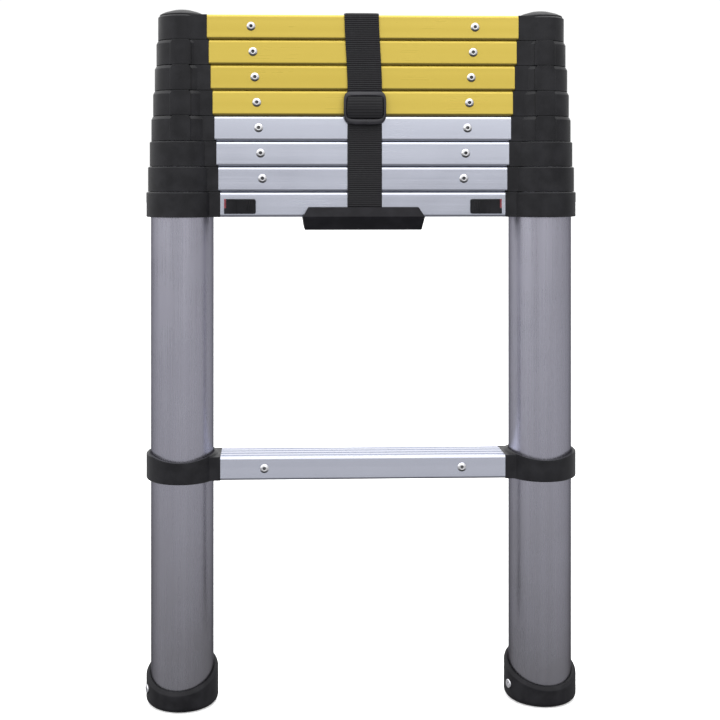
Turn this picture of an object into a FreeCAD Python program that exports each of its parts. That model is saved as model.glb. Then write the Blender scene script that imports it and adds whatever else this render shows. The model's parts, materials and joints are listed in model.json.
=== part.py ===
# Telescoping ladder, closed and strapped for carrying: two stiles of eight nested tubes and nine rungs.
#
# Millimetres. +Z is up, +X is to the right as the ladder is seen from its front, and -Y is the front.
# The origin is on the floor, midway between the two stiles. Section 1 is the widest, lowest one. Each
# section's tubes carry a collar at the top, and a rung between the two collars. Section 1 carries rung 1
# too, clamped half way up, so section n carries rung n + 1.
import FreeCAD, Part

import os
import re

import Sketcher
from FreeCAD import Placement, Rotation, Vector

SECTIONS = 8
PANELLED_SECTIONS = range(4, 8)  # sections whose collars have a raised panel at the front and the back

DIMENSIONS = {
    # the whole ladder
    "half_span": 200.0,  # from the middle to a stile's axis
    "rung_spacing": 290.0,  # between rungs of the open ladder
    "stack_pitch": 27.8,  # between rungs of the closed ladder
    "rung_one_top": 274.5,
    "fit_gap": 0.15,  # round a tube or spigot that is held fast
    "slide_gap": 0.3,  # round what slides
    # tubes
    "tube_radius": 34.8,  # section 1, outside
    "tube_step": 1.85,  # what each further section's radius is less by
    "tube_wall": 1.3,
    "tube_overlap": 60.0,  # what stays inside the next tube of the open ladder
    "tube_foot_end": 4.0,  # height of the lowest tube's end above the floor
    # rungs
    "rung_depth": 48.0,
    "rung_height": 27.5,
    "rung_one_height": 26.0,  # rung 1, which has nothing stacked on it
    "rung_wall": 1.8,
    "rung_corner": 3.2,
    "groove_pitch": 11.4,
    "groove_width": 4.2,
    "groove_depth": 0.8,
    # collars
    "collar_wall": 5.0,
    "collar_height": 27.5,
    "block_reach": 43.15,  # from a stile's axis to the rung's end, section 1
    "block_step": 2.09,  # what each further section's reach is less by
    "block_depth": 49.0,
    "lip_height": 3.0,
    "plain_chamfer": 1.0,  # round the upper edge, sections 1 to 3
    "panelled_chamfer_depth": 2.0,  # round the upper edge, sections with panels
    "panelled_chamfer_height": 3.6,
    "last_chamfer_depth": 1.8,  # round the upper edge, section 8
    "last_chamfer_height": 1.8,
    "panel_width": 23.0,
    "panel_proud": 0.9,
    "panel_corner": 2.4,  # width of the bevel across its upper corners
    "panel_corner_height": 4.0,
    "spigot_length": 60.0,
    # clamp of rung 1
    "clamp_low": 27.1,  # its lower edge below the rung's top
    "clamp_high": 4.3,  # its upper edge, at the side, above the rung's top
    "clamp_dip": 7.5,  # how far its upper edge dips at the front and the back
    "clamp_chamfer": 3.5,  # height of the chamfer round its upper edge
    "clamp_chamfer_depth": 3.6,
    "clamp_low_chamfer": 1.5,
    # feet
    "foot_radius": 39.8,
    "foot_front": 22.0,  # rim height at the front
    "foot_slant": 20.0,  # degrees that the rim rises towards the back
    "foot_turn": 11.0,  # degrees that the low side of the rim is turned outwards
    "foot_round": 7.0,
    "foot_rim_chamfer": 2.6,
    "foot_rivet_height": 18.0,
    "foot_rivet_turn": -70.0,  # degrees from straight ahead, towards the ladder's left
    # rivets
    "rivet_from_end": 48.15,
    "rivet_below_top": 13.0,  # rivet axis below the top of its rung
    "rivet_head": 5.0,
    "rivet_head_height": 1.3,
    "rivet_round": 1.04,  # of the head's rim
    "rivet_recess": 1.65,
    "recess_floor": 0.1,  # thickness of the head at the bottom of its recess
    "rivet_shank": 2.4,
    "rivet_length": 8.0,
    # guide plugs and caps
    "plug_flange": 3.0,
    "plug_length": 14.0,
    "plug_wall": 2.0,
    "cap_radius": 25.0,
    "cap_rim": 1.4,  # height of the cap at its rim
    "cap_shoulder": 19.5,  # radius at which its dome starts to flatten
    "cap_shoulder_height": 4.1,
    "cap_crown": 8.5,  # radius of its flat middle
    "cap_height": 7.2,
    "cap_rim_round": 1.2,
    "cap_round": 16.0,  # of the dome, where its slopes meet
    "cap_spigot": 10.0,
    "cap_seat": 6.0,  # how far the spigot goes into the collar
    # lock pins and thumb slides, measured from the stile's axis
    "pin_below_top": 15.75,  # pin axis below the top of its rung
    "pin_radius": 3.25,
    "pin_hole": 3.6,
    "pin_length": 39.0,
    "slide_near": 47.3,  # the slide's outer end
    "slide_length": 34.6,
    "slide_height": 16.2,
    "slide_plate": 2.4,
    "slide_corner": 2.2,
    "grip_near": 14.1,  # from the slide's outer end to its raised grip
    "grip_thickness": 1.4,
    "grip_margin": 1.0,  # of the plate that shows below and beside the grip
    "grip_top_margin": 0.6,
    "slide_travel": 4.0,
    "stem_near": 60.0,
    "stem_length": 8.0,
    "stem_height": 8.0,
    "carriage_margin": 2.0,  # what the carriage is longer than the stem by, at each end
    "carriage_half": 5.5,
    "channel_end": 5.0,  # of the spigot that is left solid behind the spring
    "mark_width": 2.2,
    "mark_height": 10.0,
    # return springs
    "spring_radius": 2.4,
    "spring_wire": 0.4,
    "spring_length": 25.0,
    "spring_turns": 9.0,
    # carry handle: half widths and half depths at its top edge, its ridge and its base
    "handle_top": 548.0,
    "handle_ridge": 537.5,
    "handle_base": 522.8,
    "handle_top_half": 60.4,
    "handle_ridge_half": 66.7,
    "handle_base_half": 64.4,
    "handle_top_depth": 29.4,
    "handle_ridge_depth": 37.0,
    "handle_base_depth": 24.0,
    "handle_wall": 4.0,
    "handle_round": 1.2,
    "strap_bed_margin": 1.0,  # of the bed under the strap, at each side
    # strap and buckle
    "strap_width": 38.0,
    "strap_thickness": 1.6,
    "strap_gap": 0.6,  # between the strap and the rungs
    "strap_middle": 1.4,  # the strap lies a little right of the ladder's middle
    "strap_corner": 3.0,
    "buckle_height": 38.0,
    "buckle_middle": 657.1,
    "buckle_half": 23.4,
    "buckle_end_half": 19.6,
    "buckle_shoulder": 9.0,  # half height of the buckle's full width
    "buckle_depth": 4.4,
    "buckle_corner": 2.5,
    "buckle_bar_depth": 2.6,
    "slot_near": 10.0,  # from the buckle's middle to the nearer edge of each slot
    "slot_far": 12.4,
    "slot_half": 19.75,
    "wrap_width": 38.6,
    "wrap_corner": 1.8,
}

GROOVES = 4  # in each rung's tread
OVERRUN = 1.0  # how far a cutting outline runs past what it cuts
CLOSE = 1e-4  # lengths that differ by less are equal
LEAST_CUT = 1e-3  # volume that a cut has to take away
PARALLEL = 0.999  # least cosine between two parallel directions

ORIGIN = -1  # geometry number of a sketch's own origin and horizontal axis
VERTICAL_AXIS = -2
START = 1
END = 2
CENTRE = 3
ALONG_X = Vector(1, 0, 0)
ALONG_Y = Vector(0, 1, 0)
ALONG_Z = Vector(0, 0, 1)

doc = FreeCAD.newDocument("TelescopingLadder")
dims = doc.addObject("Spreadsheet::Sheet", "Dims")
for row, (alias, size) in enumerate(DIMENSIONS.items(), start=1):
    dims.set(f"A{row}", alias)
    dims.set(f"B{row}", str(size))
    dims.setAlias(f"B{row}", alias)
doc.recompute()

nodes = []


# ---- expressions -------------------------------------------------------------------------------------


def cells(text):
    """An expression in the sheet's names, written the way the document reads it."""
    return re.sub(r"[a-z]\w+", lambda word: "Dims." + word[0] if word[0] in DIMENSIONS else word[0], text)


def value(text):
    """What an expression comes to now."""
    return float(dims.evalExpression(cells(text)))


def bind(item, name, text):
    """Ties one property of an object to the sheet."""
    item.setExpression(name, cells(text))


def tube_radius(section):
    """Outside radius of a section's tubes."""
    return f"(tube_radius - {section - 1} * tube_step)"


def collar_radius(section):
    return f"({tube_radius(section)} + collar_wall)"


def block_reach(section):
    """How far a section's collar reaches from the stile's axis to the rung's end."""
    return f"(block_reach - {section - 1} * block_step)"


def rung_top(rung):
    """Top of a rung of the closed ladder. Rung 2 and the ones above lie on each other."""
    if rung == 1:
        return "rung_one_top"
    return f"(rung_one_top + rung_spacing + {rung - 2} * stack_pitch)"


def rung_bottom(rung):
    """Underside of a rung of the closed ladder."""
    return f"({rung_top(rung)} - {'rung_one_height' if rung == 1 else 'rung_height'})"


def rivet_line(rung):
    """Height of the axes of a rung's rivets."""
    return f"({rung_top(rung)} - rivet_below_top)"


def travel():
    """How far each section slides out of the one below."""
    return "(rung_spacing - stack_pitch)"


def tube_bottom(section):
    """Lower end of a sliding section's tubes in the closed ladder."""
    return f"({rung_top(section)} - {travel()} - tube_overlap)"


# ---- sketches and features ---------------------------------------------------------------------------


def new_body(label, x="0"):
    body = doc.addObject("PartDesign::Body", label)
    body.Label = label
    bind(body, "Placement.Base.x", x)
    return body


def sketch_on(body, plane, offset="0"):
    """A sketch on one of the body's own planes, moved along that plane's normal. XZ_Plane looks to -Y."""
    sketch = body.newObject("Sketcher::SketchObject", "Sketch")
    base = next(item for item in body.Origin.OriginFeatures if item.Role == plane)
    sketch.AttachmentSupport = [(base, "")]
    sketch.MapMode = "FlatFace"
    bind(sketch, "AttachmentOffset.Base.z", offset)
    return sketch


def place_point(sketch, edge, point, x, y):
    """Dimensions a point of an edge from the sketch's origin, or puts it on an axis."""
    for kind, text, axis in (("DistanceX", x, VERTICAL_AXIS), ("DistanceY", y, ORIGIN)):
        if text == "0":
            sketch.addConstraint(Sketcher.Constraint("PointOnObject", edge, point, axis))
            continue
        number = sketch.addConstraint(Sketcher.Constraint(kind, ORIGIN, START, edge, point, value(text)))
        bind(sketch, f"Constraints[{number}]", text)


def outline(sketch, corners):
    """A closed outline of straight edges through the corners, each a pair of expressions."""
    first = sketch.GeometryCount
    places = [Vector(value(x), value(y), 0) for x, y in corners]
    for start, end in zip(places, places[1:] + places[:1]):
        sketch.addGeometry(Part.LineSegment(start, end), False)
    for i, (x, y) in enumerate(corners):
        before = first + (i - 1) % len(corners)
        sketch.addConstraint(Sketcher.Constraint("Coincident", before, END, first + i, START))
        place_point(sketch, first + i, START, x, y)


def rectangle(sketch, left, right, low, high):
    outline(sketch, [(left, low), (right, low), (right, high), (left, high)])


def circle(sketch, radius, x="0", y="0"):
    shape = Part.Circle(Vector(value(x), value(y), 0), ALONG_Z, value(radius))
    edge = sketch.addGeometry(shape, False)
    place_point(sketch, edge, CENTRE, x, y)
    number = sketch.addConstraint(Sketcher.Constraint("Radius", edge, value(radius)))
    bind(sketch, f"Constraints[{number}]", radius)


def pad(body, sketch, length, symmetric=False, backwards=False):
    item = body.newObject("PartDesign::Pad", "Pad")
    item.Profile = sketch
    item.SideType = "Symmetric" if symmetric else "One side"
    item.Reversed = backwards
    bind(item, "Length", length)
    doc.recompute()
    return item


def pocket(body, sketch, length=None, backwards=False):
    """A cut against the sketch's normal, or along it when backwards. With no length, a cut both ways."""
    before = body.Shape.Volume
    item = body.newObject("PartDesign::Pocket", "Pocket")
    item.Profile = sketch
    item.Reversed = backwards
    if length is None:
        item.SideType = "Symmetric"
        item.Type = "ThroughAll"
    else:
        bind(item, "Length", length)
    doc.recompute()
    if body.Shape.Volume > before - LEAST_CUT:
        raise RuntimeError(f"a pocket of {body.Label} cuts nothing")
    return item


def revolve(body, sketch, axis="V_Axis"):
    item = body.newObject("PartDesign::Revolution", "Revolution")
    item.Profile = sketch
    item.ReferenceAxis = (sketch, [axis])
    item.Angle = 360
    doc.recompute()
    return item


def dress(body, kind, wanted, sizes):
    """A fillet or chamfer on the edges of the body's last feature that the test wants."""
    base = body.Tip
    names = [f"Edge{i}" for i, edge in enumerate(base.Shape.Edges, start=1) if wanted(edge)]
    if not names:
        raise RuntimeError(f"no edge of {body.Label} is wanted")
    item = body.newObject(f"PartDesign::{kind}", kind)
    item.Base = (base, names)
    for name, text in sizes.items():
        bind(item, name, text)
    doc.recompute()
    return item


def runs_along(direction):
    """A test for the straight edges that run along a direction."""

    def wanted(edge):
        straight = edge.Curve.TypeId == "Part::GeomLine"
        return straight and abs(edge.Curve.Direction.dot(direction)) > PARALLEL

    return wanted


def is_circle(radius, height=None):
    """A test for the circular edges of a radius, at a height along Z if one is given."""

    def wanted(edge):
        if edge.Curve.TypeId != "Part::GeomCircle" or abs(edge.Curve.Radius - radius) > CLOSE:
            return False
        return height is None or abs(edge.Curve.Center.z - height) < CLOSE

    return wanted


# ---- what the pieces are put together from -----------------------------------------------------------


def mirrored(label, piece, normal=ALONG_X):
    """A piece's mirror image on the other side of the ladder's middle."""
    copy = doc.addObject("Part::Mirroring", label)
    copy.Label = label
    copy.Source = piece
    copy.Normal = normal
    return copy


def grouped(label, pieces):
    """Several solids that share one node."""
    whole = doc.addObject("Part::Compound", label)
    whole.Label = label
    whole.Links = pieces
    return whole


def keep(piece):
    """Counts an object among the ladder's sub-parts."""
    nodes.append(piece)
    return piece


def keep_pair(label, piece):
    """One node of a left piece and its mirror image."""
    return keep(grouped(label, [piece, mirrored(label + "_mirror", piece)]))


# ---- tubes and plugs ---------------------------------------------------------------------------------


def tube(label, section, bottom, top, pin_height):
    """A left tube with the hole that the lock pin enters, on its inner side."""
    body = new_body(label, "-half_span")
    wall = sketch_on(body, "XY_Plane", bottom)
    circle(wall, tube_radius(section))
    circle(wall, f"{tube_radius(section)} - tube_wall")
    pad(body, wall, f"{top} - {bottom}")
    hole = sketch_on(body, "YZ_Plane")
    circle(hole, "pin_hole", y=pin_height)
    pocket(body, hole, "tube_radius + tube_wall", backwards=True)
    return body


def guide_plug(section):
    """The plug that closes a sliding tube's lower end and guides it in the tube below."""
    body = new_body(f"guide_plug_{section}", "-half_span")
    bottom = tube_bottom(section)
    inside = f"({tube_radius(section)} - tube_wall - fit_gap)"
    flange = f"({tube_radius(section)} + slide_gap)"
    profile = sketch_on(body, "XZ_Plane")
    outline(
        profile,
        [
            ("0", f"{bottom} - plug_flange"),
            (flange, f"{bottom} - plug_flange"),
            (flange, bottom),
            (inside, bottom),
            (inside, f"{bottom} + plug_length"),
            (f"{inside} - plug_wall", f"{bottom} + plug_length"),
            (f"{inside} - plug_wall", f"{bottom} + plug_wall"),
            ("0", f"{bottom} + plug_wall"),
        ],
    )
    revolve(body, profile)
    return body


# ---- rungs and rivets --------------------------------------------------------------------------------


def rung(number):
    """A hollow rung with a grooved tread, drilled through for the rivets at its ends."""
    section = max(number - 1, 1)
    top = rung_top(number)
    length = f"2 * (half_span - {block_reach(section)})"
    body = new_body(f"rung_{number}")
    bar = sketch_on(body, "YZ_Plane")
    bottom = rung_bottom(number)
    rectangle(bar, "-rung_depth / 2", "rung_depth / 2", bottom, top)
    pad(body, bar, length, symmetric=True)
    dress(body, "Fillet", runs_along(ALONG_X), {"Radius": "rung_corner"})
    hollow = sketch_on(body, "YZ_Plane")
    inside = "(rung_depth / 2 - rung_wall)"
    rectangle(hollow, f"-{inside}", inside, f"{bottom} + rung_wall", f"{top} - rung_wall")
    pocket(body, hollow)
    grooves = sketch_on(body, "YZ_Plane")
    for i in range(GROOVES):
        middle = f"{i - (GROOVES - 1) / 2} * groove_pitch"
        left = f"{middle} - groove_width / 2"
        right = f"{middle} + groove_width / 2"
        rectangle(grooves, left, right, f"{top} - groove_depth", f"{top} + groove_depth")
    pocket(body, grooves)
    if number != 2:
        holes = sketch_on(body, "XZ_Plane")
        for side in ("-", ""):
            across = f"{side}({length} / 2 - rivet_from_end)"
            circle(holes, "rivet_shank + fit_gap", across, rivet_line(number))
        pocket(body, holes)
    return body


def rivet(label, x, y, z):
    """A blind rivet whose head faces -Y: a rounded head with the mandrel's recess, and its shank."""
    body = new_body(label, x)
    bind(body, "Placement.Base.y", y)
    bind(body, "Placement.Base.z", z)
    profile = sketch_on(body, "XY_Plane")
    outline(
        profile,
        [
            ("0", "rivet_length"),
            ("rivet_shank", "rivet_length"),
            ("rivet_shank", "0"),
            ("rivet_head", "0"),
            ("rivet_head", "-rivet_head_height"),
            ("rivet_recess", "-rivet_head_height"),
            ("rivet_recess", "-recess_floor"),
            ("0", "-recess_floor"),
        ],
    )
    revolve(body, profile)

    def front_rim(edge):
        on_head = is_circle(value("rivet_head"))(edge)
        return on_head and edge.Curve.Center.y < -value("rivet_head_height") / 2

    dress(body, "Fillet", front_rim, {"Radius": "rivet_round"})
    return body


def rung_rivets(number):
    """The four rivets that hold a rung on its spigots: both ends, front and back."""
    section = max(number - 1, 1)
    x = f"-(half_span - {block_reach(section)} - rivet_from_end)"
    first = rivet(f"rivet_{number}", x, "-rung_depth / 2", rivet_line(number))
    front = [first, mirrored(f"rivet_{number}_right", first)]
    back = [mirrored(f"rivet_{number}_back_{i}", item, ALONG_Y) for i, item in enumerate(front)]
    return front + back


# ---- collars and clamps ------------------------------------------------------------------------------


def add_block(body, reach, bottom, height):
    """The square block that meets the rung's end."""
    block = sketch_on(body, "XY_Plane", bottom)
    rectangle(block, "0", reach, "-block_depth / 2", "block_depth / 2")
    pad(body, block, height)


def add_spigot(body, reach, number):
    """The spigot that fills the end of a rung."""
    spigot = sketch_on(body, "YZ_Plane", reach)
    half = "(rung_depth / 2 - rung_wall - fit_gap)"
    low = f"{rung_bottom(number)} + rung_wall + fit_gap"
    rectangle(spigot, f"-{half}", half, low, f"{rung_top(number)} - rung_wall - fit_gap")
    pad(body, spigot, "spigot_length")


def drill_for_rivets(body, reach, number):
    """The hole through a spigot for the rivets of its rung's end."""
    hole = sketch_on(body, "XZ_Plane")
    circle(hole, "rivet_shank + fit_gap", f"{reach} + rivet_from_end", rivet_line(number))
    pocket(body, hole)


def top_chamfer(section):
    """How deep and how tall the chamfer round a collar's upper edge is."""
    if section == SECTIONS:
        return "last_chamfer_depth", "last_chamfer_height"
    if section in PANELLED_SECTIONS:
        return "panelled_chamfer_depth", "panelled_chamfer_height"
    return "plain_chamfer", "plain_chamfer"


def add_panel(body, section, bottom):
    """The raised panels on a collar's front and back: arcs of a larger radius, with bevelled corners."""
    panel = sketch_on(body, "XY_Plane", bottom)
    radius = f"({collar_radius(section)} + panel_proud)"
    circle(panel, radius)
    pad(body, panel, "collar_height")
    beside = sketch_on(body, "XY_Plane", bottom)
    far = f"({radius} + {OVERRUN})"
    rectangle(beside, f"-{far}", "-panel_width / 2", f"-{far}", far)
    rectangle(beside, "panel_width / 2", far, f"-{far}", far)
    pocket(body, beside, "collar_height", backwards=True)
    corners = sketch_on(body, "XZ_Plane")
    top = f"({bottom} + collar_height)"
    for side in ("-", ""):
        inner = f"{side}(panel_width / 2 - panel_corner)"
        outer = f"{side}(panel_width / 2 + panel_corner)"
        above = f"{top} + {OVERRUN}"
        lowest = f"{top} - 2 * panel_corner_height"
        outline(corners, [(inner, top), (inner, above), (outer, above), (outer, lowest)])
    pocket(body, corners)


def collar(section):
    """The collar on top of a left tube: barrel, block and spigot, bored for the next tube's slide."""
    label = f"collar_{section}"
    top = rung_top(section + 1)
    bottom = f"({top} - collar_height)"
    reach = block_reach(section)
    body = new_body(label, "-half_span")
    if section in PANELLED_SECTIONS:
        add_panel(body, section, bottom)
    deep, tall = top_chamfer(section)
    barrel = sketch_on(body, "XZ_Plane")
    outline(
        barrel,
        [
            ("0", bottom),
            (collar_radius(section), bottom),
            (collar_radius(section), f"{top} - {tall}"),
            (f"{collar_radius(section)} - {deep}", top),
            ("0", top),
        ],
    )
    revolve(body, barrel)
    add_block(body, reach, bottom, "collar_height")
    add_spigot(body, reach, section + 1)
    bore = sketch_on(body, "XY_Plane", bottom)
    circle(bore, f"{tube_radius(section)} + fit_gap")
    pocket(body, bore, "collar_height - lip_height", backwards=True)
    mouth = sketch_on(body, "XY_Plane", bottom)
    opening = f"{tube_radius(section + 1)} + slide_gap" if section < SECTIONS else "cap_spigot + fit_gap"
    circle(mouth, opening)
    pocket(body, mouth, "collar_height", backwards=True)
    if section == 1:
        cut_pin_way(body)
    else:
        drill_for_rivets(body, reach, section + 1)
    return body


def clamp():
    """The left clamp of rung 1: a ring round the tube, low at the front and the back, and its block."""
    top = rung_top(1)
    low = f"({top} - clamp_low)"
    high = f"({top} + clamp_high)"
    outer = collar_radius(1)
    body = new_body("rung_1_clamp_left", "-half_span")
    ring = sketch_on(body, "XZ_Plane")
    outline(
        ring,
        [
            ("0", low),
            (f"{outer} - clamp_low_chamfer", low),
            (outer, f"{low} + clamp_low_chamfer"),
            (outer, f"{high} - clamp_chamfer"),
            (f"{outer} - clamp_chamfer_depth", high),
            ("0", high),
        ],
    )
    revolve(body, ring)
    saddle = sketch_on(body, "XZ_Plane")
    saddle_radius = f"({outer} ^ 2 + clamp_dip ^ 2) / (2 * clamp_dip)"
    circle(saddle, saddle_radius, y=f"{high} - clamp_dip + {saddle_radius}")
    pocket(body, saddle)
    add_block(body, block_reach(1), rung_bottom(1), "rung_one_height")
    add_spigot(body, block_reach(1), 1)
    bore = sketch_on(body, "XY_Plane", low)
    circle(bore, "tube_radius + fit_gap")
    pocket(body, bore)
    drill_for_rivets(body, block_reach(1), 1)
    return body


# ---- thumb slides, lock pins and springs -------------------------------------------------------------


def pin_height():
    return f"({rung_top(2)} - pin_below_top)"


def cut_pin_way(body):
    """The channel of section 1's lock pin and spring, and the space that the slide's carriage moves in."""
    channel = sketch_on(body, "YZ_Plane")
    circle(channel, "pin_hole", y=pin_height())
    pocket(body, channel, f"{block_reach(1)} + spigot_length - channel_end", backwards=True)
    space = sketch_on(body, "XZ_Plane", "rung_depth / 2")
    half = "(carriage_half + slide_gap)"
    near = "(stem_near - carriage_margin - slide_gap)"
    far = "(stem_near + stem_length + carriage_margin + slide_travel + slide_gap)"
    rectangle(space, near, far, f"{pin_height()} - {half}", f"{pin_height()} + {half}")
    pocket(body, space, f"rung_depth / 2 + {half}")


def cut_slide_slots(body):
    """The two slots in the front of rung 2 that the stems of the slides pass through."""
    slots = sketch_on(body, "XZ_Plane", "rung_depth / 2")
    half = "(stem_height / 2 + slide_gap)"
    outer = "half_span - (stem_near - slide_gap)"
    inner = "half_span - (stem_near + stem_length + slide_travel + slide_gap)"
    low, high = f"{pin_height()} - {half}", f"{pin_height()} + {half}"
    rectangle(slots, f"-({outer})", f"-({inner})", low, high)
    rectangle(slots, inner, outer, low, high)
    pocket(body, slots, "rung_wall + slide_gap")


def thumb_slide():
    """The left thumb slide: plate, raised grip, stem and the carriage that holds the lock pin."""
    face = "(rung_depth / 2 + fit_gap)"
    near = "slide_near"
    far = "(slide_near + slide_length)"
    low = f"({pin_height()} - slide_height / 2)"
    high = f"({pin_height()} + slide_height / 2)"
    body = new_body("thumb_slide_left", "-half_span")
    plate = sketch_on(body, "XZ_Plane", face)
    outline(
        plate,
        [
            (near, low),
            (far, low),
            (far, high),
            (f"{near} + mark_width", high),
            (f"{near} + mark_width", f"{high} - mark_height"),
            (near, f"{high} - mark_height"),
        ],
    )
    pad(body, plate, "slide_plate")
    grip = sketch_on(body, "XZ_Plane", f"{face} + slide_plate")
    rectangle(
        grip,
        f"{near} + grip_near",
        f"{far} - grip_margin",
        f"{low} + grip_margin",
        f"{high} - grip_top_margin",
    )
    pad(body, grip, "grip_thickness")

    def rounded(edge):
        inner_end = edge.BoundBox.XMin > value(f"{far} - grip_margin") - CLOSE
        return inner_end and runs_along(ALONG_Y)(edge)

    dress(body, "Fillet", rounded, {"Radius": "slide_corner"})
    stem = sketch_on(body, "XZ_Plane", face)
    half = "stem_height / 2"
    low, high = f"{pin_height()} - {half}", f"{pin_height()} + {half}"
    rectangle(stem, "stem_near", "stem_near + stem_length", low, high)
    pad(body, stem, f"{face} - carriage_half", backwards=True)
    carriage = sketch_on(body, "XZ_Plane", "carriage_half")
    near = "stem_near - carriage_margin"
    far = "stem_near + stem_length + carriage_margin"
    low, high = f"{pin_height()} - carriage_half", f"{pin_height()} + carriage_half"
    rectangle(carriage, near, far, low, high)
    pad(body, carriage, "2 * carriage_half", backwards=True)
    bore = sketch_on(body, "YZ_Plane")
    circle(bore, "pin_radius + fit_gap / 3", y=pin_height())
    pocket(body, bore)
    return body


def lock_pin():
    """The left lock pin. Its nose rests just clear of section 2's tube, which holds the lock open."""
    body = new_body("lock_pin_left", "-half_span")
    nose = f"({tube_radius(2)} + slide_gap)"
    rod = sketch_on(body, "YZ_Plane", nose)
    circle(rod, "pin_radius", y=pin_height())
    pad(body, rod, "pin_length")

    def nose_edge(edge):
        return is_circle(value("pin_radius"))(edge) and edge.Curve.Center.x < value(nose) + CLOSE

    dress(body, "Chamfer", nose_edge, {"Size": "pin_radius / 4"})
    return body


def lock_spring():
    """The left return spring, a helix from the pin's inner end to the end of its channel."""
    helix = doc.addObject("Part::Helix", "spring_line")
    bind(helix, "Radius", "spring_radius")
    bind(helix, "Height", "spring_length - 2 * spring_wire")
    bind(helix, "Pitch", "(spring_length - 2 * spring_wire) / spring_turns")
    wire = doc.addObject("Part::Circle", "spring_wire")
    bind(wire, "Radius", "spring_wire")
    bind(wire, "Placement.Base.x", "spring_radius")
    wire.Placement = Placement(Vector(), Rotation(ALONG_X, 90))
    doc.recompute()
    spring = doc.addObject("Part::Sweep", "lock_spring_left")
    spring.Label = "lock_spring_left"
    spring.Sections = [wire]
    spring.Spine = (helix, [f"Edge{i + 1}" for i in range(len(helix.Shape.Edges))])
    spring.Solid = True
    spring.Frenet = True
    spring.Placement = Placement(Vector(), Rotation(ALONG_Y, 90))
    start = f"{tube_radius(2)} + slide_gap + pin_length + slide_gap + spring_wire"
    bind(spring, "Placement.Base.x", f"-half_span + {start}")
    bind(spring, "Placement.Base.z", pin_height())
    return spring


def lock_mark():
    """The red mark that the left slide uncovers while the lock is open."""
    body = new_body("lock_mark", "-half_span")
    mark = sketch_on(body, "XZ_Plane", "rung_depth / 2")
    high = f"{pin_height()} + slide_height / 2"
    low = f"{high} - mark_height + fit_gap"
    rectangle(mark, "slide_near", "slide_near + mark_width - fit_gap", low, high)
    pad(body, mark, "slide_plate / 2")
    return body


# ---- feet and caps -----------------------------------------------------------------------------------


def foot_body(label, side):
    """A rubber foot: a cup with a rim that rises to the back, its low point turned outwards."""
    body = new_body(label, f"{side} * half_span")
    body.Placement = Placement(Vector(), Rotation(ALONG_Z, side * value("foot_turn")))
    rim_middle = "foot_front + foot_radius * tan(foot_slant * 1 deg)"
    tall = f"({rim_middle} + foot_radius)"
    cup = sketch_on(body, "XY_Plane")
    circle(cup, "foot_radius")
    pad(body, cup, tall)
    slope = sketch_on(body, "YZ_Plane")
    far = "2 * foot_radius"
    rise = f"{far} * tan(foot_slant * 1 deg)"
    outline(
        slope,
        [
            (f"-{far}", f"{rim_middle} - {rise}"),
            (far, f"{rim_middle} + {rise}"),
            (far, f"{tall} + {far}"),
            (f"-{far}", f"{tall} + {far}"),
        ],
    )
    pocket(body, slope)
    dress(body, "Fillet", is_circle(value("foot_radius"), 0), {"Radius": "foot_round"})
    is_rim = lambda edge: edge.Curve.TypeId == "Part::GeomEllipse"
    dress(body, "Chamfer", is_rim, {"Size": "foot_rim_chamfer"})
    bore = sketch_on(body, "XY_Plane", "tube_foot_end")
    circle(bore, "tube_radius + fit_gap")
    pocket(body, bore, tall, backwards=True)
    return body


def foot_rivet(label, side):
    """A foot's rivet, on its left side and a little to the front."""
    piece = rivet(label, "0", "0", "foot_rivet_height")
    turn = Rotation(ALONG_Z, value("foot_rivet_turn"))
    out = turn.multVec(-ALONG_Y)
    piece.Placement = Placement(Vector(), turn)
    bind(piece, "Placement.Base.x", f"{side} * half_span + {out.x} * foot_radius")
    bind(piece, "Placement.Base.y", f"{out.y} * foot_radius")
    bind(piece, "Placement.Base.z", "foot_rivet_height")
    hole = doc.addObject("Part::Cylinder", label + "_hole")
    bind(hole, "Radius", "rivet_shank + fit_gap")
    bind(hole, "Height", "2 * rivet_length")
    hole.Placement = Placement(Vector(), Rotation(ALONG_Z, -out))
    bind(hole, "Placement.Base.x", f"{side} * half_span + {out.x} * (foot_radius + {OVERRUN})")
    bind(hole, "Placement.Base.y", f"{out.y} * (foot_radius + {OVERRUN})")
    bind(hole, "Placement.Base.z", "foot_rivet_height")
    return piece, hole


def drilled(label, piece, hole):
    """A piece with a hole cut through it."""
    cut = doc.addObject("Part::Cut", label)
    cut.Label = label
    cut.Base = piece
    cut.Tool = hole
    return cut


def top_cap():
    """The domed cap in the top of section 8's left collar."""
    top = rung_top(SECTIONS + 1)
    body = new_body("top_cap", "-half_span")
    profile = sketch_on(body, "XZ_Plane")
    outline(
        profile,
        [
            ("0", f"{top} - cap_seat"),
            ("cap_spigot", f"{top} - cap_seat"),
            ("cap_spigot", top),
            ("cap_radius", top),
            ("cap_radius", f"{top} + cap_rim"),
            ("cap_shoulder", f"{top} + cap_shoulder_height"),
            ("cap_crown", f"{top} + cap_height"),
            ("0", f"{top} + cap_height"),
        ],
    )
    revolve(body, profile)
    rim = is_circle(value("cap_radius"), value(f"{top} + cap_rim"))
    dress(body, "Fillet", rim, {"Radius": "cap_rim_round"})
    shoulder = is_circle(value("cap_shoulder"), value(f"{top} + cap_shoulder_height"))
    dress(body, "Fillet", shoulder, {"Radius": "cap_round"})
    crown = is_circle(value("cap_crown"), value(f"{top} + cap_height"))
    dress(body, "Fillet", crown, {"Radius": "cap_round"})
    return body


# ---- handle, strap and buckle ------------------------------------------------------------------------


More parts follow.
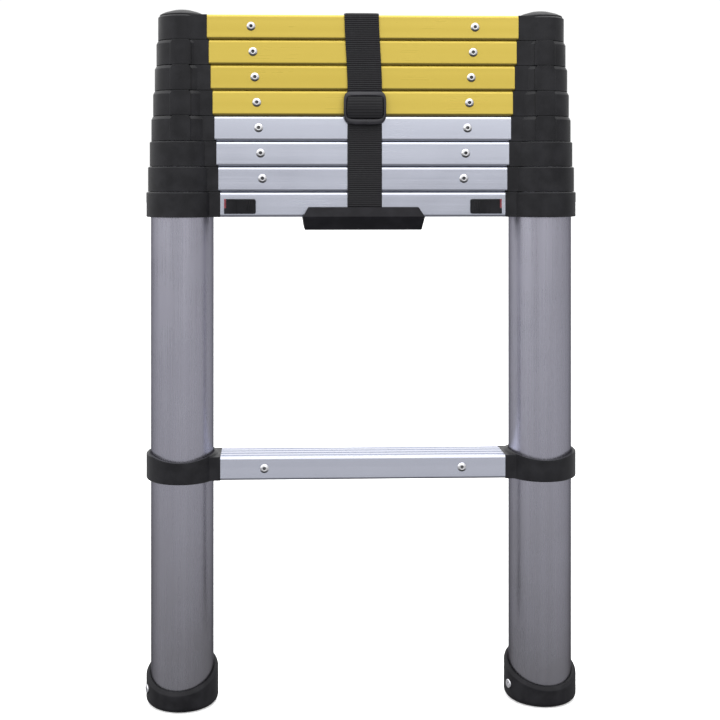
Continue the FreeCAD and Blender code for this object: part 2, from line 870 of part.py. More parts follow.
def carry_handle():
    """The grip under rung 2: a faceted trough that holds the rung, with slots for the strap."""
    body = new_body("carry_handle")
    grip = sketch_on(body, "YZ_Plane")
    outline(
        grip,
        [
            ("-handle_base_depth", "handle_base"),
            ("handle_base_depth", "handle_base"),
            ("handle_ridge_depth", "handle_ridge"),
            ("handle_top_depth", "handle_top"),
            ("-handle_top_depth", "handle_top"),
            ("-handle_ridge_depth", "handle_ridge"),
        ],
    )
    pad(body, grip, "2 * handle_ridge_half", symmetric=True)
    for side in ("-", ""):
        for level in ("base", "top"):
            end = sketch_on(body, "XZ_Plane")
            outline(
                end,
                [
                    (f"{side}handle_{level}_half", f"handle_{level}"),
                    (f"{side}handle_ridge_half", "handle_ridge"),
                    (f"{side}(handle_ridge_half + {OVERRUN})", "handle_ridge"),
                    (f"{side}(handle_ridge_half + {OVERRUN})", f"handle_{level}"),
                ],
            )
            pocket(body, end)
    dress(body, "Fillet", lambda edge: True, {"Radius": "handle_round"})
    trough = sketch_on(body, "YZ_Plane")
    floor = f"({rung_bottom(2)} - slide_gap)"
    half = "(rung_depth / 2 + slide_gap)"
    rectangle(trough, f"-{half}", half, floor, f"handle_top + {OVERRUN}")
    pocket(body, trough)
    strap_bed = sketch_on(body, "XY_Plane", f"{floor} - strap_thickness - slide_gap")
    near = "strap_middle - strap_width / 2 - strap_bed_margin"
    far = "strap_middle + strap_width / 2 + strap_bed_margin"
    deep = "(rung_depth / 2 + strap_gap + strap_thickness + slide_gap)"
    rectangle(strap_bed, near, far, f"-{deep}", deep)
    pocket(body, strap_bed, "handle_top - handle_base", backwards=True)
    for side in ("-", ""):
        hollow = sketch_on(body, "XY_Plane", "handle_base + handle_wall")
        inner = f"({far} + handle_wall)"
        outer = "(handle_base_half - handle_wall)"
        left, right = (f"-{outer}", f"-{inner}") if side else (inner, outer)
        depth_half = "(handle_base_depth - handle_wall)"
        rectangle(hollow, left, right, f"-{depth_half}", depth_half)
        pocket(body, hollow, "handle_top - handle_base", backwards=True)
    return body


def band(label, low, high, near, far, corner, width):
    """A closed band of webbing, seen from the side: its outer box in Y and Z, and its corner radius."""
    body = new_body(label, "strap_middle")
    outside = sketch_on(body, "YZ_Plane")
    rectangle(outside, near, far, low, high)
    pad(body, outside, width, symmetric=True)
    dress(body, "Fillet", runs_along(ALONG_X), {"Radius": corner})
    inside = sketch_on(body, "YZ_Plane")
    rectangle(
        inside,
        f"{near} + strap_thickness",
        f"{far} - strap_thickness",
        f"{low} + strap_thickness",
        f"{high} - strap_thickness",
    )
    pocket(body, inside)
    return body


def strap_webbing():
    """The strap: once round the stack of rungs, over rung 9 and between rung 2 and the handle."""
    out = "(rung_depth / 2 + strap_gap + strap_thickness)"
    low = f"({rung_bottom(2)} - slide_gap - strap_thickness)"
    high = f"({rung_top(SECTIONS + 1)} + slide_gap + strap_thickness)"
    return band("strap_webbing", low, high, f"-{out}", out, "strap_corner", "strap_width")


def buckle_back():
    """Depth of the buckle's back face, just clear of the strap."""
    return "(rung_depth / 2 + strap_gap + strap_thickness + slide_gap)"


def strap_buckle():
    """The sliding buckle: a frame that bulges at the sides, with two slots and a bar between them."""
    body = new_body("strap_buckle", "strap_middle")
    frame = sketch_on(body, "XZ_Plane", buckle_back())
    corners = []
    for up, across in ((-1, 1), (1, 1), (1, -1), (-1, -1)):
        shoulder = (f"{across} * buckle_half", f"buckle_middle + {up} * buckle_shoulder")
        end = (f"{across} * buckle_end_half", f"buckle_middle + {up} * buckle_height / 2")
        corners += [end, shoulder] if up * across < 0 else [shoulder, end]
    outline(frame, corners)
    pad(body, frame, "buckle_depth")
    dress(body, "Fillet", runs_along(ALONG_Y), {"Radius": "buckle_corner"})
    slots = sketch_on(body, "XZ_Plane")
    rectangle(slots, "-slot_half", "slot_half", "buckle_middle + slot_near", "buckle_middle + slot_far")
    rectangle(slots, "-slot_half", "slot_half", "buckle_middle - slot_far", "buckle_middle - slot_near")
    pocket(body, slots)
    relief = sketch_on(body, "XZ_Plane", buckle_back())
    rectangle(relief, "-slot_half", "slot_half", "buckle_middle - slot_far", "buckle_middle + slot_far")
    pocket(body, relief, "buckle_depth - buckle_bar_depth", backwards=True)
    return body


def strap_bar_wrap():
    """The turn of webbing round the buckle's bar."""
    room = "(slot_far - slot_near - strap_thickness) / 2"
    half = f"(slot_near + {room} + strap_thickness)"
    near = f"-({buckle_back()} + buckle_depth + slide_gap + strap_thickness)"
    far = f"-({buckle_back()} + slide_gap / 2)"
    low, high = f"(buckle_middle - {half})", f"(buckle_middle + {half})"
    return band("strap_bar_wrap", low, high, near, far, "wrap_corner", "wrap_width")


# ---- the ladder --------------------------------------------------------------------------------------

# section 1: the base, with rungs 1 and 2
base_tube = tube("base_tube", 1, "tube_foot_end", f"({rung_top(2)} - lip_height)", pin_height())
tubes = {"left": base_tube, "right": mirrored("base_tube_mirror", base_tube)}
for name, side in (("left", -1), ("right", 1)):
    fixing, fixing_hole = foot_rivet(f"foot_rivet_{name}", side)
    keep(drilled(f"base_tube_{name}", tubes[name], fixing_hole))
    keep(drilled(f"foot_{name}", foot_body(f"foot_cup_{name}", side), fixing_hole))
foot_fixings = [doc.getObject("foot_rivet_left"), doc.getObject("foot_rivet_right")]
keep(grouped("foot_rivets", foot_fixings))

keep(rung(1))
keep(grouped("rung_1_rivets", rung_rivets(1)))
left_clamp = keep(clamp())
keep(mirrored("rung_1_clamp_right", left_clamp))

base_collar = collar(1)
base_collar.Label = "collar_1_left"
keep(base_collar)
keep(mirrored("collar_1_right", base_collar))
second_rung = keep(rung(2))
cut_slide_slots(second_rung)

# what rung 2 carries
for left_piece in (thumb_slide(), lock_pin(), lock_spring()):
    keep(left_piece)
    keep(mirrored(left_piece.Label.replace("left", "right"), left_piece))
keep_pair("lock_marks", lock_mark())
keep(carry_handle())
keep(strap_webbing())
keep(strap_buckle())
keep(strap_bar_wrap())

# sections 2 to 8: what slides
for section in range(2, SECTIONS + 1):
    top = rung_top(section + 1)
    hole_height = f"({rung_top(section)} - pin_below_top - {travel()})"
    tube_top = f"({top} - lip_height)"
    sliding_tube = tube(f"tube_{section}", section, tube_bottom(section), tube_top, hole_height)
    keep_pair(f"section_{section}_tubes", sliding_tube)
    keep_pair(f"section_{section}_guide_plugs", guide_plug(section))
    keep_pair(f"section_{section}_collars", collar(section))
    keep(rung(section + 1))
    keep(grouped(f"rung_{section + 1}_rivets", rung_rivets(section + 1)))
keep_pair("top_caps", top_cap())

# ---- check and write ---------------------------------------------------------------------------------

doc.recompute()
for item in doc.Objects:
    if "Invalid" in item.State or "Error" in item.State:
        raise RuntimeError(f"{item.Label} is {item.State}")
os.makedirs("parts", exist_ok=True)
for node in nodes:
    if node.Shape.isNull() or not node.Shape.isValid() or not node.Shape.Solids:
        raise RuntimeError(f"{node.Label} has no valid solid")
for node in nodes:
    node.Shape.exportStep(os.path.join("parts", node.Label + ".step"))
print(f"{len(nodes)} nodes, {sum(len(node.Shape.Solids) for node in nodes)} solids")
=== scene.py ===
import json
import math

import bmesh
import bpy
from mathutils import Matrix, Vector


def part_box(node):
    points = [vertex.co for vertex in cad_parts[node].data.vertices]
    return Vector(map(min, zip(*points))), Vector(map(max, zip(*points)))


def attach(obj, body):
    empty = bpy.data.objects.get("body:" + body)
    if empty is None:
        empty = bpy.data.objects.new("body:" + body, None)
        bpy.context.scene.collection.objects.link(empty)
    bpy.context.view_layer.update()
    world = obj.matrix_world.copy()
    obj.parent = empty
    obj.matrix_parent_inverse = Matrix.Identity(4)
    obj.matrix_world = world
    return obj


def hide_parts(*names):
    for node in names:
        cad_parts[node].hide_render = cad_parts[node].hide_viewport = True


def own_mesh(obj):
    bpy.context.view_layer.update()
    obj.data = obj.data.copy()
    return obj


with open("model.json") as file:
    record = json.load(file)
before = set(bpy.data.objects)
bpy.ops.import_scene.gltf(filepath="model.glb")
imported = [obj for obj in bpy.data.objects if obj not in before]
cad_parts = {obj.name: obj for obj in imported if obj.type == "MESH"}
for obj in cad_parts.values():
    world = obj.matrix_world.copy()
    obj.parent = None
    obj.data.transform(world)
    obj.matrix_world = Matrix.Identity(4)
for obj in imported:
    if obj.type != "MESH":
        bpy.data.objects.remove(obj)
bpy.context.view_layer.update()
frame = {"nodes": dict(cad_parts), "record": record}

MM = 0.001
record = frame["record"]
nodes = frame["nodes"]
scene = bpy.context.scene
body_of = {node: body for body, members in record["behaviour"]["bodies"].items() for node in members}
slot_of = {part["node"]: part["material_slot"] for part in record["subparts"]}
SIDES = ("left", "right")
SECTIONS = range(2, 9)  # the sliding sections
RIVETED_RUNGS = (1, *range(3, 10))  # rung 2 holds the release slides instead


# ---- camera ------------------------------------------------------------------------------------------

CAMERA_PLACE = (-0.095, -1.375, 0.578)
CAMERA_TURN = -2.0  # degrees from straight ahead, towards the right
CAMERA_LENS = 61.6
CAMERA_SENSOR = 36
CAMERA_SHIFT = (0.0557, -0.2504)  # in widths of the frame


def make_camera():
    """A level camera a little left of the ladder's middle, its frame shifted down over the whole ladder."""
    data = bpy.data.cameras.new("camera")
    data.sensor_width = CAMERA_SENSOR
    data.lens = CAMERA_LENS
    data.shift_x, data.shift_y = CAMERA_SHIFT
    camera = bpy.data.objects.new("camera", data)
    camera.location = CAMERA_PLACE
    camera.rotation_euler = (math.radians(90), 0, math.radians(CAMERA_TURN))
    scene.collection.objects.link(camera)
    scene.camera = camera


# ---- shader graphs -----------------------------------------------------------------------------------


class Graph:
    """A node tree under construction. Inputs are values or the outputs of other nodes."""

    def __init__(self, tree):
        self.tree = tree

    def feed(self, node, inputs):
        """Sets a node's inputs, by name or number."""
        for key, value in inputs.items():
            socket = node.inputs[key]
            if isinstance(value, bpy.types.NodeSocket):
                self.tree.links.new(value, socket)
            else:
                socket.default_value = value
        return node

    def add(self, kind, inputs=None, **settings):
        """A new node with its settings and inputs."""
        node = self.tree.nodes.new(kind)
        for key, value in settings.items():
            setattr(node, key, value)
        return self.feed(node, inputs or {})

    def coordinates(self, kind="Object"):
        return self.add("ShaderNodeTexCoord").outputs[kind]

    def scaled(self, vector, scale):
        """The vector times a scale along each axis, in cycles per metre."""
        return self.add("ShaderNodeMapping", {"Vector": vector, "Scale": scale}).outputs["Vector"]

    def noise(self, vector, scale=1.0, detail=2.0, roughness=0.5):
        inputs = {"Vector": vector, "Scale": scale, "Detail": detail, "Roughness": roughness}
        return self.add("ShaderNodeTexNoise", inputs).outputs["Fac"]

    def remap(self, value, low, high, new_low, new_high):
        """A soft step from new_low, where the value is low, to new_high, where it is high."""
        inputs = {"Value": value, "From Min": low, "From Max": high, "To Min": new_low, "To Max": new_high}
        return self.add("ShaderNodeMapRange", inputs, interpolation_type="SMOOTHSTEP").outputs["Result"]

    def blend(self, factor, first, second):
        """A mix of two colours."""
        node = self.add("ShaderNodeMix", data_type="RGBA")
        self.feed(node, {0: factor, 6: first, 7: second})
        return node.outputs[2]

    def mix(self, factor, first, second):
        """A mix of two numbers."""
        node = self.add("ShaderNodeMix", {0: factor, 2: first, 3: second}, data_type="FLOAT")
        return node.outputs[0]

    def camera_ray(self):
        """1 where the camera looks straight at the surface, 0 for reflections and for light."""
        return self.add("ShaderNodeLightPath").outputs["Is Camera Ray"]

    def math(self, operation, first, second=0.0):
        return self.add("ShaderNodeMath", {0: first, 1: second}, operation=operation).outputs[0]

    def axis(self, vector, letter):
        return self.add("ShaderNodeSeparateXYZ", {0: vector}).outputs[letter]

    def bump(self, height, depth, below=None):
        """A bump of a depth in metres, on top of another bump if one is given."""
        node = self.add("ShaderNodeBump", {"Height": height, "Distance": depth, "Strength": 1.0})
        if below is not None:
            self.feed(node, {"Normal": below})
        return node.outputs["Normal"]


def new_material(name):
    """A material, the graph of its nodes, and its shader."""
    material = bpy.data.materials.new(name)
    material.use_nodes = True
    shader = material.node_tree.nodes["Principled BSDF"]
    return material, Graph(material.node_tree), shader


# ---- studio ------------------------------------------------------------------------------------------

# The camera sees a plain white floor and background. What the metal reflects, and what lights the
# ladder, is a grey floor in a room that is bright above, dim below and uneven from side to side.
WHITE_WALL = 1.05
FLOOR_HALF = 30
FLOOR_SEEN = (0.95, 0.95, 0.95, 1)
FLOOR_REFLECTED = (0.23, 0.23, 0.235, 1)
FLOOR_GLOW = 0.3  # so that the floor that the camera sees is as white as the background


def softbox(name, place, target, width, height, power):
    """A rectangular lamp that faces a target, and lights surfaces without being mirrored in them."""
    data = bpy.data.lights.new(name, "AREA")
    data.shape = "RECTANGLE"
    data.size = width
    data.size_y = height
    data.energy = power
    lamp = bpy.data.objects.new(name, data)
    lamp.location = place
    lamp.rotation_euler = (Vector(target) - Vector(place)).to_track_quat("-Z", "Y").to_euler()
    lamp.visible_glossy = False
    scene.collection.objects.link(lamp)


def studio_world():
    """The light of the room by direction, with a white wall behind the ladder."""
    world = bpy.data.worlds.new("studio")
    world.use_nodes = True
    graph = Graph(world.node_tree)
    direction = graph.coordinates("Generated")
    right, back, up = (graph.axis(direction, letter) for letter in "XYZ")  # each from -1 to 1
    walls = graph.remap(up, -0.022, 0.108, 0.3, 1.3)
    ceiling = graph.remap(up, 0.45, 0.8, 0.0, 1.1)
    room = graph.math("ADD", walls, ceiling)
    slope = graph.remap(right, -0.35, 0.42, 0.86, 1.1)
    dim_right = graph.remap(right, 0.44, 0.62, 1.0, 0.6)
    bright_left = graph.remap(right, -0.8, -0.5, 1.4, 1.0)
    dim_back = graph.remap(back, -0.3, 0.2, 1.0, 0.95)
    for shade in (slope, dim_right, bright_left, dim_back):
        room = graph.math("MULTIPLY", room, shade)
    behind = graph.remap(graph.math("ABSOLUTE", right), 0.34, 0.46, 1.0, 0.0)
    behind = graph.math("MULTIPLY", behind, graph.remap(back, 0.4, 0.8, 0.0, 1.0))
    room = graph.mix(behind, room, WHITE_WALL)
    strength = graph.mix(graph.camera_ray(), room, WHITE_WALL)
    graph.feed(world.node_tree.nodes["Background"], {"Color": (1, 1, 1, 1), "Strength": strength})
    scene.world = world


def make_floor():
    """A plain floor, white to the camera and grey in reflections."""
    mesh = bpy.data.meshes.new("floor")
    far = FLOOR_HALF
    mesh.from_pydata([(-far, -far, 0), (far, -far, 0), (far, far, 0), (-far, far, 0)], [], [(0, 1, 2, 3)])
    floor = bpy.data.objects.new("floor", mesh)
    scene.collection.objects.link(floor)
    material, graph, shader = new_material("pale_floor")
    seen = graph.camera_ray()
    colour = graph.blend(seen, FLOOR_REFLECTED, FLOOR_SEEN)
    glow = graph.math("MULTIPLY", seen, FLOOR_GLOW)
    graph.feed(shader, {"Base Color": colour, "Roughness": 0.85})
    graph.feed(shader, {"Emission Color": (1, 1, 1, 1), "Emission Strength": glow})
    mesh.materials.append(material)


# ---- materials ---------------------------------------------------------------------------------------

# Cycles per metre of the fine marks in a metal, along each axis.
ALONG_Z = (900, 900, 5)
ALONG_X = (5, 900, 900)
EVERY_WAY = (900, 900, 900)
MARK_DEPTH = 0.003 * MM
GRAIN_DEPTH = 0.012 * MM
BROAD_MARKS = 12  # how many times as broad as the fine marks the broad ones are

# Painted shade: the tubes are darkened with this tone towards the floor and on their sides, in patches.
LOW_SHADE_TONE = (0.16, 0.155, 0.15, 1)
LOW_SHADE_TOP = 0.42  # height at which it ends

YARN_PITCH = 1.9 * MM
RIB_PITCH = 2.35 * MM
# The webbing's hollows are painted near black against its ribs, a painted shade in the weave.
WEBBING_SHADED_HOLLOWS = (0.001, 0.001, 0.0014, 1)
WEBBING_RIBS = (0.0185, 0.018, 0.0215, 1)
WEBBING_DUST = (0.04, 0.04, 0.042, 1)
RIB_DEPTH = 0.16 * MM  # of the weave, in the material's bump
FIBRE_DEPTH = 0.02 * MM

# dark and light are the tones that a metal's marks run between, and under is the share of the dark tone
# that is painted on the faces that look down, as painted shade.
METALS = {
    # the tubes get painted shade towards the floor
    "tube_aluminium": dict(
        dark=(0.475, 0.469, 0.547), light=(0.52, 0.514, 0.6), lines=ALONG_Z,
        metallic=1.0, roughness=0.28, edge=0.3, low_shade_amount=0.9,
    ),
    "rung_silver": dict(
        dark=(0.63, 0.655, 0.755), light=(0.67, 0.695, 0.795), lines=ALONG_X,
        metallic=0.92, roughness=0.22, under=0.4,
    ),
    "rung_yellow": dict(
        dark=(0.57, 0.428, 0.064), light=(0.62, 0.472, 0.079), lines=ALONG_X,
        metallic=0.3, roughness=0.32, under=0.28,
    ),
    "rivet_metal": dict(
        dark=(0.70, 0.70, 0.73), light=(0.86, 0.86, 0.88), lines=EVERY_WAY,
        metallic=1.0, roughness=0.24, under=0.15,
    ),
    "spring_steel": dict(
        dark=(0.07, 0.07, 0.075), light=(0.14, 0.14, 0.145), lines=EVERY_WAY,
        metallic=1.0, roughness=0.4,
    ),
}
PLASTICS = {
    "black_plastic": dict(colour=(0.0045, 0.0045, 0.0062), roughness=0.40, specular=0.31),
    "slide_plastic": dict(colour=(0.0035, 0.0035, 0.005), roughness=0.40, specular=0.26),
    "handle_plastic": dict(colour=(0.0055, 0.0052, 0.0072), roughness=0.44, specular=0.13),
    "buckle_plastic": dict(colour=(0.012, 0.0115, 0.0155), roughness=0.30, specular=0.45, grain=3600.0),
    "guide_plastic": dict(colour=(0.42, 0.42, 0.40), roughness=0.45),
    "foot_rubber": dict(colour=(0.008, 0.0078, 0.0095), roughness=0.55, specular=0.16, grain=1500.0),
    "red_mark": dict(colour=(0.19, 0.03, 0.04), roughness=0.42),
}


def painted_low_shade(graph, colour, cloud, amount):
    """The colour with painted shade that thickens towards the floor, and a little more of it on the sides.
    """
    height = graph.axis(graph.coordinates(), "Z")
    low = graph.remap(height, 0.0, LOW_SHADE_TOP, 0.6, 0.0)
    near_floor = graph.remap(height, 0.03, 0.17, 0.1, 0.0)
    front = graph.math("ABSOLUTE", graph.axis(graph.coordinates("Normal"), "Y"))
    beside = graph.remap(front, 0.45, 0.85, 0.1, 0.0)
    beside = graph.math("MULTIPLY", beside, graph.remap(height, 0.2, LOW_SHADE_TOP, 1.0, 0.0))
    patchy = graph.remap(cloud, 0.3, 0.7, 0.75 * amount, amount)
    spread = graph.math("ADD", graph.math("ADD", low, near_floor), beside)
    return graph.blend(graph.math("MULTIPLY", spread, patchy), colour, LOW_SHADE_TONE)


def painted_shade_below(graph, colour, dark, share):
    """The colour, with painted shade on the faces that look down: there it is dulled to a share of the dark
    tone.
    """
    down = graph.remap(graph.axis(graph.coordinates("Normal"), "Z"), -0.4, -0.08, 1.0, 0.0)
    return graph.blend(down, colour, (*[channel * share for channel in dark], 1))


def drawn_metal(name, dark, light, lines, metallic, roughness, edge=1.0, low_shade_amount=0.0, under=1.0):
    """Metal drawn through a die, with fine and broad marks along it. edge dims its grazing reflections."""
    material, graph, shader = new_material(name)
    place = graph.coordinates()
    fine = graph.noise(graph.scaled(place, lines), detail=3.0, roughness=0.6)
    broad = graph.noise(graph.scaled(place, [cycles / BROAD_MARKS for cycles in lines]), detail=1.0)
    cloud = graph.noise(place, scale=14.0, detail=3.0)
    tone = graph.math("ADD", graph.math("MULTIPLY", broad, 0.85), graph.math("MULTIPLY", fine, 0.15))
    colour = graph.blend(graph.remap(tone, 0.3, 0.7, 0.0, 1.0), (*dark, 1), (*light, 1))
    # painted shade, darker towards the floor and on the sides
    if low_shade_amount:
        colour = painted_low_shade(graph, colour, cloud, low_shade_amount)
    # painted shade on the faces that look down, for the dark lines between the stacked rungs and under the
    # rivet heads
    if under < 1.0:
        colour = painted_shade_below(graph, colour, dark, under)
    uneven = [graph.remap(noise, 0.3, 0.7, -0.03, 0.03) for noise in (fine, cloud)]
    rough = graph.math("ADD", graph.math("ADD", *uneven), roughness)
    graph.feed(shader, {"Base Color": colour, "Metallic": metallic, "Specular Tint": (edge, edge, edge, 1)})
    graph.feed(shader, {"Roughness": rough, "Normal": graph.bump(fine, MARK_DEPTH)})
    return material


def moulded_plastic(name, colour, roughness, specular=0.4, grain=2600.0):
    """Moulded plastic with a fine spark-eroded grain and a faint mottling."""
    material, graph, shader = new_material(name)
    place = graph.coordinates()
    grains = graph.noise(place, scale=grain, detail=2.0)
    cloud = graph.noise(place, scale=55.0, detail=4.0)
    lighter = [min(1.0, channel * 1.5 + 0.004) for channel in colour]
    tint = graph.blend(graph.remap(cloud, 0.35, 0.7, 0.0, 1.0), (*colour, 1), (*lighter, 1))
    rough = graph.remap(cloud, 0.3, 0.7, roughness - 0.05, roughness + 0.06)
    graph.feed(shader, {"Base Color": tint, "Roughness": rough, "Specular IOR Level": specular})
    graph.feed(shader, {"Normal": graph.bump(grains, GRAIN_DEPTH)})
    return material


def ribbed_webbing(name):
    """Woven polypropylene: ribs across the webbing, parted by its warp yarns, between plain selvedges."""
    material, graph, shader = new_material(name)
    sewn = graph.coordinates("UV")
    across = graph.math("MULTIPLY", graph.axis(sewn, "X"), 1 / YARN_PITCH)
    along = graph.math("MULTIPLY", graph.axis(sewn, "Y"), 1 / RIB_PITCH)
    yarn = graph.math("ABSOLUTE", graph.math("SINE", graph.math("MULTIPLY", across, math.pi)))
    rib = graph.math("ABSOLUTE", graph.math("SINE", graph.math("MULTIPLY", along, math.pi)))
    parted = graph.remap(yarn, 0.0, 0.8, 0.72, 1.0)
    height = graph.math("MULTIPLY", parted, rib)
    fibres = graph.noise(graph.scaled(sewn, (9000, 900, 1)), detail=2.0)
    dust = graph.noise(graph.coordinates(), scale=90.0, detail=3.0)
    tone = graph.math("MULTIPLY", height, graph.remap(fibres, 0.2, 0.8, 0.7, 1.0))
    # the hollows between ribs and yarns are painted darker than the ribs, a painted shade; the fibres vary
    # the yarns' own tone
    colour = graph.blend(tone, WEBBING_SHADED_HOLLOWS, WEBBING_RIBS)
    colour = graph.blend(graph.remap(dust, 0.55, 0.8, 0.0, 0.15), colour, WEBBING_DUST)
    woven = graph.bump(height, RIB_DEPTH)
    normal = graph.bump(fibres, FIBRE_DEPTH, below=woven)
    graph.feed(shader, {"Base Color": colour, "Roughness": 0.45, "Normal": normal})
    graph.feed(shader, {"Specular IOR Level": 0.22, "Sheen Weight": 0.03, "Sheen Roughness": 0.5})
    return material


def make_materials():
    """One material for each slot of the record."""
    made = {name: drawn_metal(name, **finish) for name, finish in METALS.items()}
    made.update({name: moulded_plastic(name, **finish) for name, finish in PLASTICS.items()})
    made["webbing"] = ribbed_webbing("webbing")
    return made


# ---- mesh tools --------------------------------------------------------------------------------------


def finished(work, name):
    """The mesh of a finished bmesh, with its faces turned outwards."""
    bmesh.ops.recalc_face_normals(work, faces=work.faces)
    mesh = bpy.data.meshes.new(name)
    work.to_mesh(mesh)
    work.free()
    return mesh


def add_piece(name, mesh, node, slot=None, replaces=True):
    """A piece on a CAD node's body and with its finish, or a given slot's. It may replace the node."""
    piece = bpy.data.objects.new(name, mesh)
    scene.collection.objects.link(piece)
    slot = slot or slot_of[node]
    mesh.materials.clear()
    mesh.materials.append(materials[slot])
    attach(piece, body_of[node])
    if replaces:
        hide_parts(node)
    return piece


def smooth_by_area(piece):
    """Smooth shading in which the large faces keep their own direction."""
    piece.data.shade_smooth()
    modifier = piece.modifiers.new("weighted", "WEIGHTED_NORMAL")
    modifier.keep_sharp = True
    modifier.weight = 80


SAME_PLACE = 0.002 * MM
FLAT_ANGLE = math.radians(0.5)  # faces that meet at less become one face
SHARP_ANGLE = math.radians(28)  # edges that turn by more are rounded


def softened(node, width):
    """A moulded part: the CAD node's shape with its sharp edges rounded."""
    mesh = bpy.data.meshes.new(node + "_moulded")
    work = bmesh.new()
    work.from_mesh(nodes[node].data)
    bmesh.ops.remove_doubles(work, verts=work.verts, dist=SAME_PLACE)
    bmesh.ops.dissolve_limit(work, angle_limit=FLAT_ANGLE, verts=work.verts, edges=work.edges)
    work.normal_update()
    sharp = [edge for edge in work.edges if edge.is_manifold and edge.calc_face_angle() > SHARP_ANGLE]
    bmesh.ops.bevel(
        work, geom=sharp, offset=width, offset_type="OFFSET", segments=2, profile=0.5, affect="EDGES",
        clamp_overlap=False,
    )
    work.to_mesh(mesh)
    work.free()
    if "custom_normal" in mesh.attributes:
        mesh.attributes.remove(mesh.attributes["custom_normal"])
    smooth_by_area(add_piece(node + "_moulded", mesh, node))


def superellipse(angle, half_width, half_height, power):
    """A point of a superellipse: an ellipse for power 2, nearer a rectangle for higher powers."""
    across, up = math.cos(angle), math.sin(angle)
    x = half_width * math.copysign(abs(across) ** (2 / power), across)
    return x, half_height * math.copysign(abs(up) ** (2 / power), up)


def join_rings(work, rings, next_rings):
    """Smooth faces between each ring of corners and the ring after it."""
    for ring, following in zip(rings, next_rings):
        for j in range(len(ring)):
            k = (j + 1) % len(ring)
            work.faces.new((ring[j], following[j], following[k], ring[k])).smooth = True


def lofted_ring(work, rings):
    """Faces that join closed rings of points into one closed tube."""
    made = [[work.verts.new(point) for point in ring] for ring in rings]
    join_rings(work, made, made[1:] + made[:1])


def lofted_bar(work, rings):
    """Faces that join rings of points into a bar with closed ends."""
    made = [[work.verts.new(point) for point in ring] for ring in rings]
    join_rings(work, made, made[1:])
    work.faces.new(made[0])
    work.faces.new(made[-1])


TURNED_SIDES = 28


def turned(work, profile, place, facing):
    """A solid of revolution. The profile is radius and height pairs, the first and last on the axis."""
    turn = Vector((0, 0, 1)).rotation_difference(Vector(facing)).to_matrix()
    origin = Vector(place)
    first = work.verts.new(origin + turn @ Vector((0, 0, profile[0][1])))
    last = work.verts.new(origin + turn @ Vector((0, 0, profile[-1][1])))
    angles = [2 * math.pi * i / TURNED_SIDES for i in range(TURNED_SIDES)]
    rings = []
    for radius, height in profile[1:-1]:
        points = [Vector((radius * math.cos(a), radius * math.sin(a), height)) for a in angles]
        rings.append([work.verts.new(origin + turn @ point) for point in points])
    for i in range(TURNED_SIDES):
        k = (i + 1) % TURNED_SIDES
        work.faces.new((first, rings[0][k], rings[0][i]))
        for ring, following in zip(rings, rings[1:]):
            work.faces.new((ring[i], ring[k], following[k], following[i]))
        work.faces.new((rings[-1][i], rings[-1][k], last))
    for face in work.faces:
        face.smooth = True


# ---- strap -------------------------------------------------------------------------------------------

STATIONS_PER_RIB = 6
RIB_HEIGHT = 0.42 * MM
SELVEDGE = 2.2 * MM
BAND_CORNERS = 14  # of each half of the webbing's section
BAND_ROUNDING = 5  # power of its superellipse
STRAP_THICKNESS = 1.6 * MM
STRAP_CORNER = 2.4 * MM  # radius of its middle line at the corners of the stack
STRAP_LEAN = 3.4 * MM  # the strap's upper turn lies this much further left than the rest
WRAP_THICKNESS = 1.5 * MM
WRAP_RIB_HEIGHT = RIB_HEIGHT / 4  # pulled tight
WRAP_ROUNDING = 1.75  # power of its outline's superellipse


def rounded_loop(near, far, low, high, corner, count):
    """Evenly spaced places round a rounded rectangle, each with its outward direction, in Y and Z."""
    sides = (far - near - 2 * corner, high - low - 2 * corner) * 2
    middles = (
        (near + corner, low + corner),
        (far - corner, low + corner),
        (far - corner, high - corner),
        (near + corner, high - corner),
    )
    bend = corner * math.pi / 2
    perimeter = sum(sides) + 4 * bend
    places = []
    for i in range(count):
        distance = perimeter * i / count
        turn = 0
        while distance > sides[turn] + bend:
            distance -= sides[turn] + bend
            turn += 1
        along = min(distance, sides[turn])
        facing = (turn - 1) * math.pi / 2
        middle = Vector(middles[turn]) + along * Vector((-math.sin(facing), math.cos(facing)))
        angle = facing + (distance - along) / corner
        outward = Vector((math.cos(angle), math.sin(angle)))
        places.append((middle + corner * outward, outward))
    return places


def webbing_band(name, places, centre, width, thickness, rib_height, lean=None):
    """A closed band of ribbed webbing along the places. lean gives how far right it lies at a height."""
    angles = [math.pi * (i + 0.5) / BAND_CORNERS for i in range(BAND_CORNERS)]
    section = [superellipse(angle, width / 2, thickness / 2, BAND_ROUNDING) for angle in angles]
    section += [(-across, -out) for across, out in section]
    work = bmesh.new()
    sewn = work.loops.layers.uv.new("UVMap")
    rings = []
    for i, (place, outward) in enumerate(places):
        rib = 0.5 - 0.5 * math.cos(2 * math.pi * i / STATIONS_PER_RIB)
        ring = []
        for across, out in section:
            inside = max(0.0, min(1.0, (width / 2 - abs(across)) / SELVEDGE))
            raised = out + math.copysign(rib_height, out) * inside * (math.sqrt(rib) - 0.5)
            y, z = place + raised * outward
            x = centre + across + (lean(z) if lean else 0.0)
            ring.append(work.verts.new((x, y, z)))
        rings.append(ring)
    step = RIB_PITCH / STATIONS_PER_RIB
    for i, ring in enumerate(rings):
        following = rings[(i + 1) % len(rings)]
        for j, (across, _) in enumerate(section):
            k = (j + 1) % len(section)
            face = work.faces.new((ring[j], following[j], following[k], ring[k]))
            face.smooth = True
            corners = ((across, i), (across, i + 1), (section[k][0], i + 1), (section[k][0], i))
            for loop, (u, station) in zip(face.loops, corners):
                loop[sewn].uv = (u + width / 2, station * step)
    return finished(work, name)


